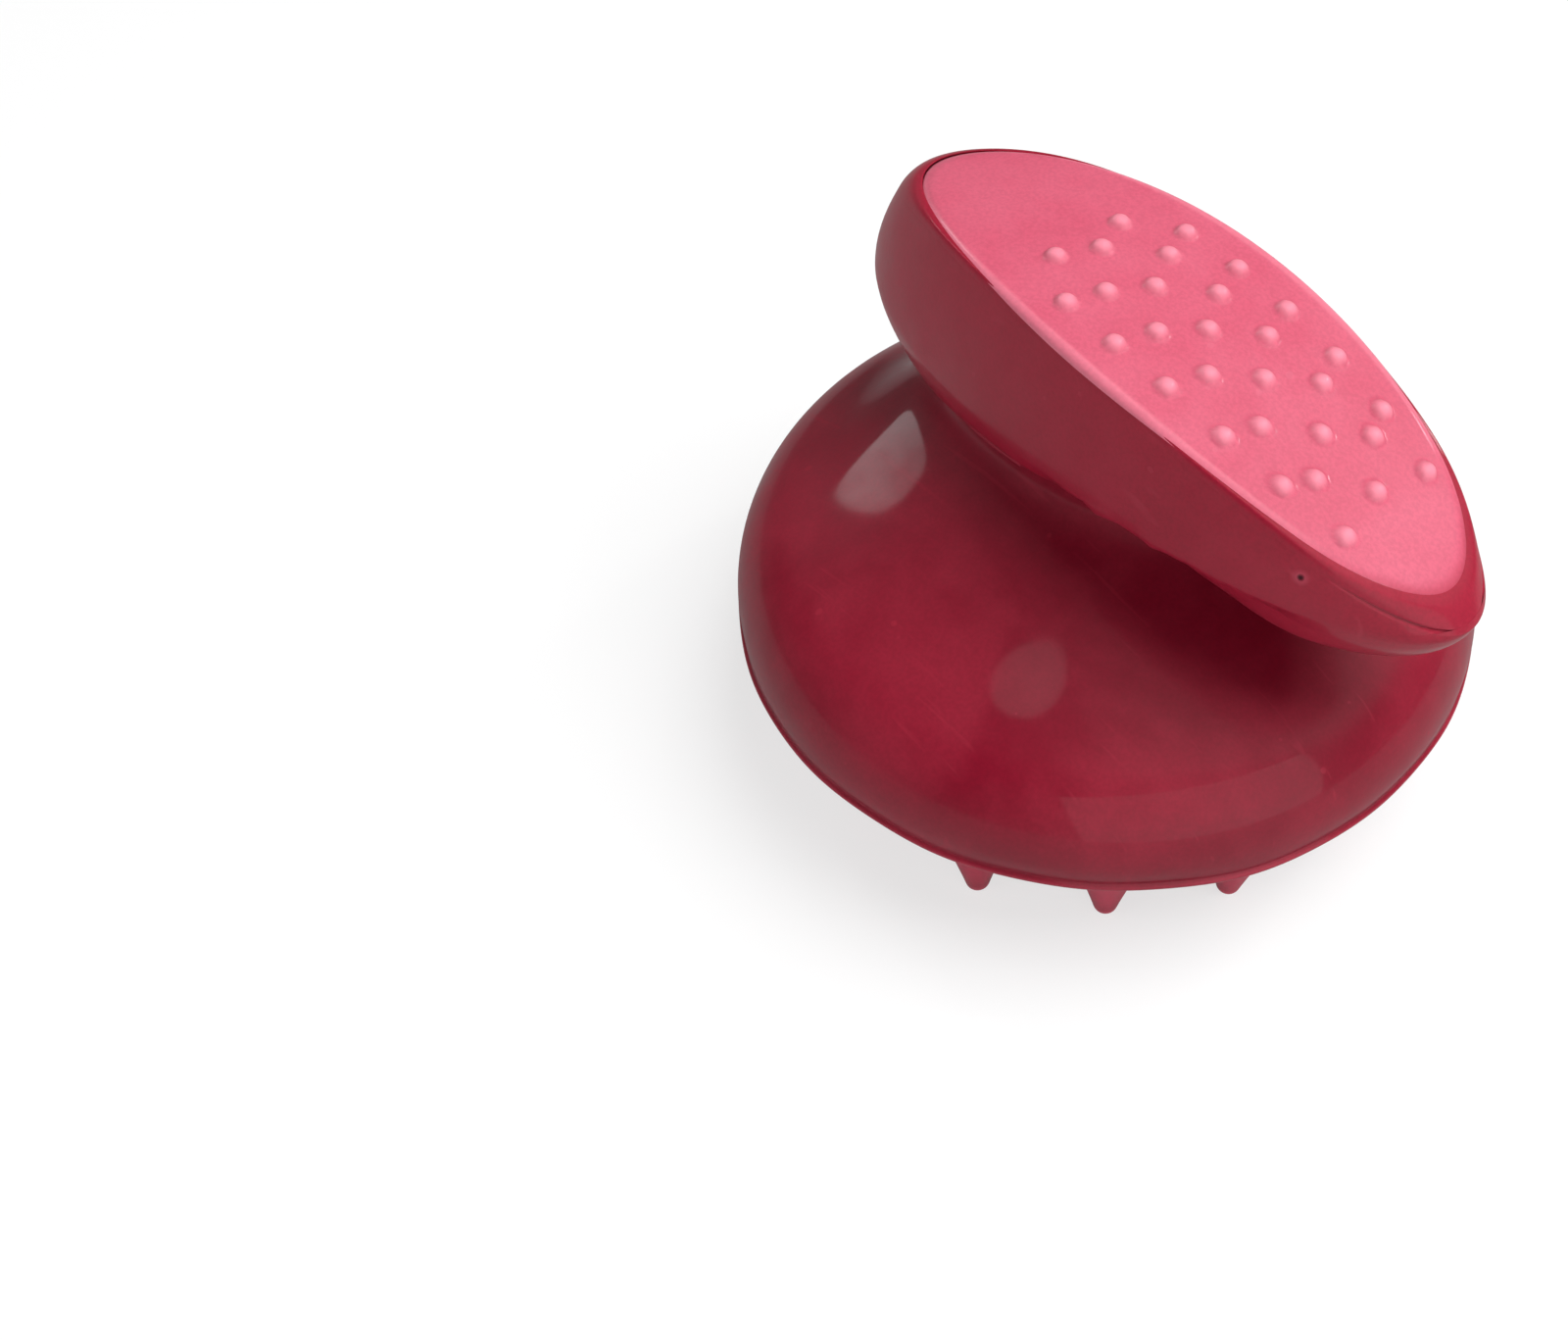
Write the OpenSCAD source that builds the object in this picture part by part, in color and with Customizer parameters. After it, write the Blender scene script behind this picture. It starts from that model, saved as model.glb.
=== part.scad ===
// Scalp massager brush: a domed rubber head with soft cone bristles
// underneath and a low oval palm grip on a short neck.
// +Z is up and the bristle tips stand on z = 0. The head's axis is the Z axis
// and the grip runs along X, with its high, blunt end at -X.

/* [Head] */
// Diameter of the domed head
head_d = 80; // [72:0.5:96]
// Height of the straight band at the rim, below the rounded shoulder
rim_band_h = 1.6; // [1.4:0.1:3]
// Radius of the rounded shoulder, seen in section
shoulder_r = 10; // [8:0.5:12]
// Radius of the shallow crown over the head
crown_r = 100; // [85:1:130]
// Width of the rim ring that surrounds the bristle plate
rim_wall = 1.9; // [1.2:0.1:3]
// How far the moulding flash stands out at the rim's lower edge
flash_w = 0.35; // [0.1:0.05:0.8]
// Height of the moulding flash
flash_h = 0.6; // [0.3:0.1:1]

/* [Neck] */
// Length of the neck at its waist, along the grip
neck_l = 42; // [34:1:46]
// Width of the neck at its waist
neck_w = 21; // [16:0.5:22]
// Radius of the hollow sweep from the waist out to the head
neck_sweep_r = 7; // [5:0.5:7.5]
// Height at which the sweep turns into the neck's upright wall
waist_z = 31.8; // [31:0.1:33.5]
// How far the neck's centre sits from the head's axis
neck_shift = -6; // [-8:0.5:0]
// Length of the oval spigot that plugs into the grip
spigot_l = 24; // [16:1:28]
// Width of the oval spigot
spigot_w = 9; // [6:0.5:11]
// Height of the spigot above the neck's shoulder
spigot_h = 6; // [3:0.5:8]

/* [Grip] */
// Overall length of the palm grip
grip_l = 75; // [66:0.5:84]
// Overall width of the palm grip
grip_w = 28.8; // [26:0.2:34]
// How far the grip's centre sits from the head's axis
grip_shift = 3.8; // [0:0.1:5]
// Height of the grip's underside above the bristle tips
grip_base_z = 35.6; // [34.5:0.1:38]
// Height of the grip's arched top at its highest point
grip_top_z = 54.2; // [51:0.1:57]
// Radius of the arch along the grip's top
arch_r = 105; // [90:1:140]
// How far the arch's highest point sits from the head's axis
arch_shift = -8.5; // [-14:0.5:-4]
// Height of the grip's widest line above its underside
belly_h = 5.4; // [4.5:0.1:7]
// How strongly the grip's wall leans in above its widest line
wall_lean = 0.145; // [0.08:0.005:0.17]
// Radius that rounds the grip's long sides under, seen from its end
keel_r = 17; // [15:0.5:24]
// Width of the grip's underside between those rounded sides
keel_w = 21.4; // [18:0.2:26]

/* [Palm pad] */
// Width of the grip's lip around the pad, at the two ends
pad_lip = 1.6; // [1.2:0.1:3]
// Thickness of the palm pad
pad_t = 1.6; // [1.2:0.1:2.4]
// How far the pad stands above the grip's lip
pad_proud = 0.25; // [0.1:0.05:0.5]
// Length of the pad's locating key
key_l = 26; // [16:1:34]
// Width of the pad's locating key
key_w = 8; // [5:0.5:12]
// Depth of the pad's locating key below the pad
key_h = 2.6; // [2.2:0.1:4]
// Diameter of each grip dot
dot_d = 2.3; // [1.6:0.1:3]
// How far each grip dot stands up from the pad
dot_h = 0.8; // [0.4:0.1:1.2]
// Spacing of the dots in the middle row
dot_pitch = 6.6; // [5.6:0.1:6.8]
// Spacing of the dots in the four side rows
side_dot_pitch = 6.2; // [5.4:0.1:6.4]
// Centre of the dot field, from the head's axis
dot_field_x = 12.7; // [9:0.1:13.5]
// Stagger of the side rows along the grip
dot_stagger = 2.3; // [0:0.1:3]
// Sideways distance of the inner dot rows from the grip's centre line
dot_row_y = 4; // [3:0.05:4.5]
// Place of the outer dot rows, as a share of the pad's half width
dot_edge_share = 0.7; // [0.6:0.01:0.75]

/* [Bristle plate] */
// Thickness of the bristle plate
plate_t = 3; // [2.4:0.1:5]
// How far the plate's face is set up inside the rim
plate_recess = 0.7; // [0.4:0.1:1.2]
// Width of each raised ring band
band_w = 5.4; // [4:0.1:6.5]
// Thickness of each ring band
band_t = 1.2; // [0.9:0.1:1.6]
// How far each ring band stands out of the plate
band_proud = 0.4; // [0.2:0.05:0.7]

/* [Bristles] */
// Length of a bristle below the plate's face
bristle_h = 14.5; // [12:0.1:15]
// Diameter of a bristle where it leaves the plate
bristle_base_d = 9; // [7.6:0.1:9.8]
// Diameter of a bristle's blunt tip
bristle_tip_d = 2.5; // [1.8:0.1:4]
// Radius that rounds the bristle's tip edge
tip_round_r = 0.6; // [0.3:0.05:0.8]
// Diameter of the pin that roots a bristle through its band into the plate
root_d = 3.2; // [2.4:0.1:3.8]
// Depth of the bristle's root pin above the plate's face
root_h = 1.8; // [1.2:0.1:2.2]
// Radius of the circle of outer bristles
outer_circle_r = 33.4; // [32.8:0.1:33.6]
// Radius of the circle of middle bristles
middle_circle_r = 23.7; // [22.5:0.1:24]
// Radius of the circle of inner bristles
inner_circle_r = 13.3; // [12.2:0.1:13.8]
// Number of outer bristles
outer_n = 16; // [16]
// Number of middle bristles
middle_n = 12; // [12]
// Number of inner bristles
inner_n = 8; // [8]
// Turn of the bristle circles from the grip's line, in degrees
bristle_turn = -22.5; // [-45:0.5:45]

/* [Fits] */
// Gap around each root pin and ring band in the plate
root_gap = 0.05; // [0.02:0.01:0.1]
// Gap around the plate inside the rim
plate_gap = 0.1; // [0.05:0.01:0.2]
// Gap around the spigot inside the grip
spigot_gap = 0.1; // [0.05:0.01:0.2]
// Gap around and under the palm pad, filled by its bonding layer
pad_gap = 0.12; // [0.05:0.01:0.2]

/* [Hidden] */
$fn = 96;
head_r = head_d / 2;
rim_z = bristle_h - plate_recess;             // lower edge of the rim
plate_z = bristle_h;                          // face of the plate
shoulder_x = head_r - shoulder_r;             // centre of the shoulder arc
shoulder_z = rim_z + rim_band_h;
crown_z = shoulder_z - sqrt(pow(crown_r - shoulder_r, 2) - pow(shoulder_x, 2));
tangent_a = atan2(shoulder_z - crown_z, shoulder_x);  // where crown meets shoulder
plate_r = head_r - rim_wall;

neck_ratio = neck_w / neck_l;
sweep_x = neck_l / 2 + neck_sweep_r;          // centre of the hollow sweep,
sweep_a = 180 + atan2(waist_z - crown_z, sweep_x - neck_shift);   // foot of the sweep

grip_ratio = grip_w / grip_l;
grip_r = grip_l / 2;
belly_z = grip_base_z + belly_h;              // height of the grip's widest line
wall_h = grip_top_z + 1 - belly_z;            // wall above it, before the arch
keel_z = grip_base_z + sqrt(pow(keel_r, 2) - pow(keel_w / 2, 2));
arch_z = grip_top_z - arch_r;                 // axis of the arch, along Y

pad_top_r = arch_r + pad_proud;
pad_floor_r = arch_r + pad_proud - pad_t;
key_x = grip_shift - 4;
key_floor_z = arch_top(key_x + key_l / 2, pad_floor_r) - key_h;

// Points along an arc in the section plane, from angle a0 to a1
function arc(x, z, r, a0, a1, n = 10) =
    [for (i = [0 : n]) let (a = a0 + (a1 - a0) * i / n)
        [x + r * cos(a), z + r * sin(a)]];

// Angle of bristle i on a circle of n
function turn(i, n) = bristle_turn + 360 * i / n;

// An oval drum or turned shape, squeezed across the grip
module squeeze(ratio, x = 0)
    translate([x, 0, 0]) scale([1, ratio, 1]) children();

// A cylinder lying across the grip, whose top is the grip's arch
module arch(r)
    translate([arch_shift, 0, arch_z]) rotate([90, 0, 0])
        cylinder(r = r, h = 3 * grip_w, center = true, $fn = 128);

// ---- Head ----

// Section of the dome, from the rim's lower edge up to the axis
function dome_section() = concat(
    [[0, rim_z], [head_r - 0.5, rim_z], [head_r, rim_z + 0.2],
     [head_r, rim_z + flash_h], [head_r - flash_w, rim_z + flash_h + 0.3]],
    [[head_r - flash_w, shoulder_z]],
    arc(shoulder_x - flash_w, shoulder_z, shoulder_r, 6, tangent_a, 14),
    arc(0, crown_z, crown_r, tangent_a + 1, 90, 12));

// Section of the neck: a hollow sweep from the crown up to a straight waist
function neck_section() = concat(
    [[0, shoulder_z + 4], [sweep_x - 1.5, shoulder_z + 4]],
    arc(sweep_x, waist_z, neck_sweep_r, sweep_a, 180, 12),
    [[neck_l / 2, grip_base_z], [0, grip_base_z]]);

module domed_head() color("brown") difference() {
    union() {
        rotate_extrude() polygon(dome_section());
        squeeze(neck_ratio, neck_shift) rotate_extrude() polygon(neck_section());
        squeeze(spigot_w / spigot_l, neck_shift)
            translate([0, 0, grip_base_z - 1]) cylinder(d = spigot_l, h = spigot_h + 1);
    }
    translate([0, 0, rim_z - 1])
        cylinder(r = plate_r + plate_gap, h = plate_t + plate_recess + 1);
}

// ---- Grip ----

// How far the wall has leaned in at height h above the widest line
function lean(h) = wall_lean * pow(max(h, 0), 1.5);

// Section of the grip, drawn in from its widest line by inset
function grip_section(inset = 0) = concat(
    [[0, grip_base_z], [grip_r - 5 - inset, grip_base_z]],
    [for (a = [-75 : 15 : 0])
        [grip_r - 5 - inset + 5 * cos(a), belly_z + belly_h * sin(a)]],
    [for (i = [1 : 9]) let (h = wall_h * i / 9)
        [grip_r - inset - lean(h), belly_z + h]],
    [[0, belly_z + wall_h]]);

module grip_form(inset = 0)
    squeeze(grip_ratio, grip_shift) rotate_extrude() polygon(grip_section(inset));

// A cylinder along the grip, whose lower half rounds the long sides under
module keel()
    translate([grip_shift, 0, keel_z]) {
        rotate([0, 90, 0]) cylinder(r = keel_r, h = 2 * grip_l, center = true);
        translate([-grip_l, -grip_w, 0]) cube([2 * grip_l, 2 * grip_w, grip_top_z]);
    }

module grip_body() color("firebrick") difference() {
    intersection() { grip_form(); arch(arch_r); keel(); }
    // recess for the pad, down to an arched floor
    difference() {
        grip_form(pad_lip);
        arch(pad_floor_r - pad_gap);
    }
    // pocket for the pad's key
    squeeze(key_w / key_l, key_x) translate([0, 0, key_floor_z])
        cylinder(d = key_l + 2 * pad_gap, h = grip_top_z);
    // socket for the neck's spigot
    squeeze(spigot_w / spigot_l, neck_shift) translate([0, 0, grip_base_z - 1])
        cylinder(d = spigot_l + 2 * spigot_gap, h = spigot_h + spigot_gap + 1);
}

// Height of the grip's arch at a place along it
function arch_top(x, r) = arch_z + sqrt(pow(r, 2) - pow(x - arch_shift, 2));

// Half width of the pad at a place along the grip
function pad_half_w(x) = grip_ratio * sqrt(
    pow(grip_r - pad_lip - lean(arch_top(x, arch_r) - belly_z), 2)
    - pow(x - grip_shift, 2));

// One grip dot: a low round cap that stands square to the arch
module dot(x, y) {
    cap_r = (pow(dot_d / 2, 2) + pow(dot_h, 2)) / (2 * dot_h);
    translate([arch_shift, y, arch_z])
        rotate([0, asin((x - arch_shift) / pad_top_r), 0])
        translate([0, 0, pad_top_r + dot_h - cap_r])
        intersection() {
            sphere(r = cap_r, $fn = 32);
            translate([0, 0, cap_r - dot_h - 0.3]) cylinder(r = dot_d, h = 2, $fn = 32);
        }
}

// A row of six dots, on both sides of the centre line if y is above 0
module dot_row(centre, pitch, y = 0, share = 0)
    for (i = [0 : 5], side = (y + share > 0) ? [-1, 1] : [1]) {
        x = centre + (i - 2.5) * pitch;
        dot(x, side * (y + share * pad_half_w(x)));
    }

module palm_pad() color("palevioletred") {
    difference() {
        intersection() { grip_form(pad_lip + pad_gap); arch(pad_top_r); }
        // hollow underneath, leaving the locating key
        difference() {
            arch(pad_floor_r);
            squeeze(key_w / key_l, key_x) translate([0, 0, key_floor_z])
                cylinder(d = key_l, h = grip_top_z);
        }
    }
    dot_row(dot_field_x, dot_pitch);
    dot_row(dot_field_x - 1.2 * dot_stagger, side_dot_pitch, y = dot_row_y);
    dot_row(dot_field_x + dot_stagger, side_dot_pitch, share = dot_edge_share);
}

// ---- Bristle plate ----

module band_ring(r, w, h)
    difference() {
        cylinder(r = r + w / 2, h = h);
        translate([0, 0, -1]) cylinder(r = r - w / 2, h = h + 2);
    }

module on_circle(r, n)
    for (i = [0 : n - 1]) rotate([0, 0, turn(i, n)]) translate([r, 0, 0]) children();

// Every bristle's place, as a round cutter of diameter d
module root_holes(d, z, h)
    translate([0, 0, z]) {
        on_circle(outer_circle_r, outer_n) cylinder(d = d, h = h);
        on_circle(middle_circle_r, middle_n) cylinder(d = d, h = h);
        on_circle(inner_circle_r, inner_n) cylinder(d = d, h = h);
        cylinder(d = d, h = h);
    }

module bristle_plate() color("maroon") difference() {
    translate([0, 0, plate_z]) cylinder(r = plate_r, h = plate_t);
    for (r = [outer_circle_r, middle_circle_r, inner_circle_r])
        translate([0, 0, plate_z - 1])
            band_ring(r, band_w + 2 * root_gap, band_t - band_proud + 1);
    root_holes(root_d + 2 * root_gap, plate_z - 1, root_h + 1);
}

// A whole ring: it stands proud between the bristles, and each bristle's
// base sits in a round seat cut down to the plate's face
module band(r) color("palevioletred") difference() {
    translate([0, 0, plate_z - band_proud]) band_ring(r, band_w, band_t);
    root_holes(bristle_base_d + 2 * root_gap, plate_z - band_proud - 1, band_proud + 1);
    root_holes(root_d + 2 * root_gap, plate_z - 1, band_t + 1);
}

// ---- Bristles ----

// Section of one bristle, tip at z = 0
function bristle_section() = let (rb = bristle_base_d / 2, rt = bristle_tip_d / 2)
    concat(
        [[0, 0.15], [rt - tip_round_r - 0.2, 0.15]],
        [for (a = [-90 : 15 : -15])
            [rt - tip_round_r + tip_round_r * cos(a), tip_round_r + tip_round_r * sin(a)]],
        [[rb - 1.0, bristle_h - 3.4], [rb - 0.35, bristle_h - 1.2],
         [rb, plate_z - band_proud], [rb, plate_z],
         [root_d / 2, plate_z], [root_d / 2, plate_z + root_h], [0, plate_z + root_h]]);

module bristle(r, a)
    color("crimson") rotate([0, 0, a]) translate([r, 0, 0])
        rotate_extrude($fn = 48) polygon(bristle_section());

// ---- Nodes ----

function two(i) = str(i < 10 ? "0" : "", i);
circles = [["outer", outer_n, outer_circle_r], ["middle", middle_n, middle_circle_r],
           ["inner", inner_n, inner_circle_r]];

domed_head();
grip_body();
palm_pad();
bristle_plate();
band(outer_circle_r);  // outer_band
band(middle_circle_r);  // middle_band
band(inner_circle_r);  // inner_band
bristle(0, 0);  // centre_bristle
for (c = circles, i = [1 : c[1]])
    bristle(c[2], turn(i - 1, c[1]));
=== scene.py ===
"""Scalp massager brush: a domed rubber head with cone bristles and an oval palm grip."""
import math

import bmesh
import bpy
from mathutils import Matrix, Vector, noise as wobble


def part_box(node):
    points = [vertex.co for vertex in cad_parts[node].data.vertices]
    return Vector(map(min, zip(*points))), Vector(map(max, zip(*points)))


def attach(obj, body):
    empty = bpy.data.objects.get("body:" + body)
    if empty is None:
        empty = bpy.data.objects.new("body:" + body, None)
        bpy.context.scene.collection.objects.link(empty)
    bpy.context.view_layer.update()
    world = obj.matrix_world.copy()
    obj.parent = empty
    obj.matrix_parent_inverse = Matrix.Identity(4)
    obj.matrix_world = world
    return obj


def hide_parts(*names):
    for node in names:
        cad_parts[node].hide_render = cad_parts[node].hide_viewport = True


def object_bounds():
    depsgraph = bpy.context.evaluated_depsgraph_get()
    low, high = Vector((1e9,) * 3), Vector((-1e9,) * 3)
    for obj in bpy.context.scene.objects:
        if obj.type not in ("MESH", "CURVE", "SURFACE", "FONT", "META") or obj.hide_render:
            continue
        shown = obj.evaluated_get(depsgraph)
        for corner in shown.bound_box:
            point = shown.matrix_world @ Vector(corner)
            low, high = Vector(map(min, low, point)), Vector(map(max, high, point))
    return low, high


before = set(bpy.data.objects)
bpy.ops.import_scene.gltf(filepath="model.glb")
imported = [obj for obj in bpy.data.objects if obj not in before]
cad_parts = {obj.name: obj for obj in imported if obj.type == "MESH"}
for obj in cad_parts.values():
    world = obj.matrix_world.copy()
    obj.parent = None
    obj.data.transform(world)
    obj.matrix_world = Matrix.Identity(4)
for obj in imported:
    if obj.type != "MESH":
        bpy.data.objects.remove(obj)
cad_low, cad_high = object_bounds()
MM = 0.001
ROOT = "root"


# ---------------------------------------------------------------- modelling by hand

def deselect_all():
    if bpy.context.object and bpy.context.object.mode != "OBJECT":
        bpy.ops.object.mode_set(mode="OBJECT")
    bpy.ops.object.select_all(action="DESELECT")


def start(name):
    """Names the primitive that was just added and opens it in edit mode, all selected."""
    piece = bpy.context.object
    piece.name = piece.data.name = name
    bpy.ops.object.mode_set(mode="EDIT")
    bpy.ops.mesh.select_all(action="SELECT")
    return piece


def finish_mesh(piece, smooth_levels=0, sharp_angle=None):
    """Closes edit mode, merges doubles, turns faces outwards and applies the smoothing."""
    bpy.ops.mesh.select_all(action="SELECT")
    bpy.ops.mesh.remove_doubles(threshold=0.001 * MM)
    bpy.ops.mesh.normals_make_consistent(inside=False)
    bpy.ops.object.mode_set(mode="OBJECT")
    if smooth_levels:
        smooth = piece.modifiers.new("smooth", "SUBSURF")
        smooth.levels = smooth.render_levels = smooth_levels
        bpy.ops.object.modifier_apply(modifier=smooth.name)
    if sharp_angle is None:
        bpy.ops.object.shade_smooth()
    else:
        bpy.ops.object.shade_smooth_by_angle(angle=math.radians(sharp_angle))
    piece.select_set(False)
    return piece


def loft(name, rings, sides):
    """An open shell swept up through flat oval rings: (height, centre x, half length, half width).
    Left in edit mode with the last ring selected. All sizes in millimetres."""
    z, x, a, b = rings[0]
    deselect_all()
    bpy.ops.mesh.primitive_circle_add(vertices=sides, radius=a * MM, fill_type="NOTHING")
    piece = start(name)
    bpy.ops.transform.resize(value=(1, b / a, 1), center_override=(0, 0, 0))
    bpy.ops.transform.translate(value=(x * MM, 0, z * MM))
    for z1, x1, a1, b1 in rings[1:]:
        bpy.ops.mesh.extrude_edges_move()
        bpy.ops.transform.resize(value=(a1 / a, b1 / b, 1), center_override=(x * MM, 0, 0))
        bpy.ops.transform.translate(value=((x1 - x) * MM, 0, (z1 - z) * MM))
        z, x, a, b = z1, x1, a1, b1
    return piece


def close_end(x, z, steps=((0.5, 0.0),)):
    """Draws the selected open ring in to its middle and merges it there."""
    for share, rise in steps:
        bpy.ops.mesh.extrude_edges_move()
        bpy.ops.transform.resize(value=(share, share, 1), center_override=(x * MM, 0, z * MM))
        bpy.ops.transform.translate(value=(0, 0, rise * MM))
    bpy.ops.mesh.extrude_edges_move()
    bpy.ops.mesh.merge(type="CENTER")


def select_open_edges(piece, wanted=None):
    """Selects the open edges of the piece being edited: all, or those that wanted(edge) picks."""
    bpy.ops.mesh.select_all(action="DESELECT")
    mesh = bmesh.from_edit_mesh(piece.data)
    for e in [e for e in mesh.edges if e.is_boundary]:
        e.select = wanted is None or wanted(e)
    mesh.select_flush(True)
    bmesh.update_edit_mesh(piece.data)


def blend01(value, low, high):
    """0 below low, 1 above high, and a smooth step between."""
    t = min(max((value - low) / (high - low), 0), 1)
    return t * t * (3 - 2 * t)


def noise_at(point):
    """Smooth noise from -1 to 1, the same every run."""
    return wobble.noise(Vector(point))


def span(node):
    """A CAD node's box in millimetres."""
    low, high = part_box(node)
    return low / MM, high / MM


# ---------------------------------------------------------------- sizes from the frame

head_low, head_high = span("domed_head")
grip_low, grip_high = span("grip_body")

head_r = head_high.x
rim_z = head_low.z
plate_z = span("bristle_plate")[0].z

grip_x = (grip_low.x + grip_high.x) / 2
grip_half = (grip_high.x - grip_low.x) / 2
grip_ratio = (grip_high.y - grip_low.y) / 2 / grip_half
grip_base = grip_low.z
grip_top = grip_high.z
belly_z = grip_base + 5.4                       # the grip's widest line
arch_r, arch_x = 105.0, -8.5                    # the arch along its top
arch_z = grip_top - arch_r
keel_r, keel_half = 17.0, 10.7                  # the round of its underside, and half the flat inside it
keel_z = grip_base + math.sqrt(keel_r ** 2 - keel_half ** 2)
lip = 1.6
pad_gap, pad_proud = 0.07, 0.25                 # the pad's gap to the lip, and how far it stands above it
DOT_HIGH, DOT_REACH, DOT_ROW = 0.74, 1.06, 6       # each dot's height and reach, and dots in a row
LAP_NEAR, LAP_FAR, LAP_LOW = 0.8, 1.05, 0.9     # how far the pad laps onto the lip: long sides, low end


def arch(x):
    """Height of the grip's lip at a place along it."""
    return arch_z + math.sqrt(arch_r ** 2 - (x - arch_x) ** 2)


def lean(height):
    """How far the grip's wall has drawn in at a height above its widest line."""
    return 0.145 * max(height, 0) ** 1.5


def grip_point(turn, inset, height_at):
    """A point on the grip's wall, turned round the oval and drawn in by inset, at the height of height_at."""
    x = grip_x + (grip_half - inset) * math.cos(turn)
    for _ in range(6):
        z = height_at(x)
        a = grip_half - inset - lean(z - belly_z)
        x = grip_x + a * math.cos(turn)
    return x, grip_ratio * a * math.sin(turn), z


# ---------------------------------------------------------------- head

SHOULDER_TURNS = (12, 24, 36, 48, 60, 69)
SHOULDER_IN, SHOULDER_UP, SHOULDER_R = 10.35, 1.6, 10.0     # its middle, from the rim, and its radius
NECK_X, NECK_LONG, NECK_WIDE = -5.1, 20.1, 10.55            # the upright neck's middle and half sizes
SWEEP_DROP = 1.9                                            # how far below the grip the neck turns upright
SWEEP_HIGH, SWEEP_LOW, SWEEP_SIDE = (25.2, 4.0, 3.9), (15.0, 12.5, 3.6), (10.55, 14.5, 3.8)
SWEEP_STEPS = 15


def dome_rings():
    """Rim ring, flash, rounded shoulder, shallow crown, and the sweep up into the oval neck."""
    r, z = head_r, rim_z
    rings = [(z + 2.2, r - 1.78), (z + 0.6, r - 1.78), (z + 0.16, r - 1.74), (z + 0.02, r - 1.55),
             (z, r - 1.2), (z, r - 0.6), (z + 0.06, r - 0.22), (z + 0.2, r - 0.04), (z + 0.42, r),
             (z + 0.62, r - 0.05), (z + 0.78, r - 0.26), (z + 0.9, r - 0.38), (z + 1.15, r - 0.36),
             (z + 1.6, r - 0.35)]
    for angle in SHOULDER_TURNS:
        rings.append(shoulder_place(math.radians(angle)))
    rings = [(z1, 0, r1, r1) for z1, r1 in rings]
    # the sweep leaves the shoulder along its slope and ends upright on the neck, fuller at the low end
    neck_top = grip_base + 0.3
    ends = neck_sweep()
    for step in range(1, SWEEP_STEPS + 1):
        level = on_curve(ends[2], step / SWEEP_STEPS, 1)
        high_end, low_end, half_width = (reach_at(curve, level) for curve in ends)
        rings.append((level, (low_end - high_end) / 2, (low_end + high_end) / 2, half_width))
    rings += [(level, NECK_X, NECK_LONG, NECK_WIDE) for level in (neck_top - 1.2, neck_top)]
    return rings


def shoulder_place(turn):
    """Height and radius of the rounded shoulder at a turn up from its widest."""
    return (rim_z + SHOULDER_UP + SHOULDER_R * math.sin(turn),
            head_r - SHOULDER_IN + SHOULDER_R * math.cos(turn))


def sweep_curve(start_r, start_z, slope, end_r, end_z, first, last):
    """Four handles of a smooth curve from the shoulder's slope to the upright neck: (reach, height)."""
    return [(start_r, start_z), (start_r + slope[0] * first, start_z + slope[1] * first),
            (end_r, end_z - last), (end_r, end_z)]


def on_curve(curve, t, axis):
    """Reach (axis 0) or height (axis 1) of a sweep curve at t, from 0 to 1."""
    share = ((1 - t) ** 3, 3 * t * (1 - t) ** 2, 3 * t * t * (1 - t), t ** 3)
    return sum(s * handle[axis] for s, handle in zip(share, curve))


def reach_at(curve, level):
    """Reach of a sweep curve at a height."""
    low, high = 0.0, 1.0
    for _ in range(30):
        middle = (low + high) / 2
        if on_curve(curve, middle, 1) < level:
            low = middle
        else:
            high = middle
    return on_curve(curve, (low + high) / 2, 0)


def make_head():
    piece = loft("rubber_head", dome_rings(), 72)
    close_end(-6, grip_base + 0.3, ((0.7, 0.0),))
    select_open_edges(piece)
    bpy.ops.mesh.extrude_edges_move()
    bpy.ops.transform.translate(value=(0, 0, 1.4 * MM))
    close_end(0, rim_z + 3.6, ((0.98, 0.0), (0.5, 0.0)))
    finish_mesh(piece, smooth_levels=2)
    ripple_rim(piece)
    carve(piece, neck_crevice(), depth=0.18, width=0.4)
    return piece


def neck_sweep():
    """The sweep's curves from the shoulder up to the upright neck: high end, low end and side."""
    a = math.radians(SHOULDER_TURNS[-1])
    start_z, start_r = shoulder_place(a)
    slope = (-math.sin(a), math.cos(a))
    return [sweep_curve(start_r, start_z, slope, reach, grip_base - SWEEP_DROP, first, last)
            for reach, first, last in (SWEEP_HIGH, SWEEP_LOW, SWEEP_SIDE)]


def neck_point(turn, drop):
    """A place on the sweep: degrees round the neck, millimetres below the grip."""
    level = grip_base - drop
    high_end, low_end, half_width = (reach_at(curve, level) for curve in neck_sweep())
    t = math.radians(turn)
    return (low_end - high_end) / 2 + (low_end + high_end) / 2 * math.cos(t), half_width * math.sin(t), level


def round_neck(*stops):
    """A path on the sweep through stops of (turn, drop)."""
    path = []
    for (turn, drop), (next_turn, next_drop) in zip(stops, stops[1:]):
        for share in (0, 1 / 3, 2 / 3):
            path.append(neck_point(turn + (next_turn - turn) * share, drop + (next_drop - drop) * share))
    return path + [neck_point(*stops[-1])]


def neck_crevice():
    """Where the moulding pinched, close under the grip on the near side of the high end."""
    return round_neck((210, 2.2), (220, 3.0), (240, 2.5))


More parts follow.
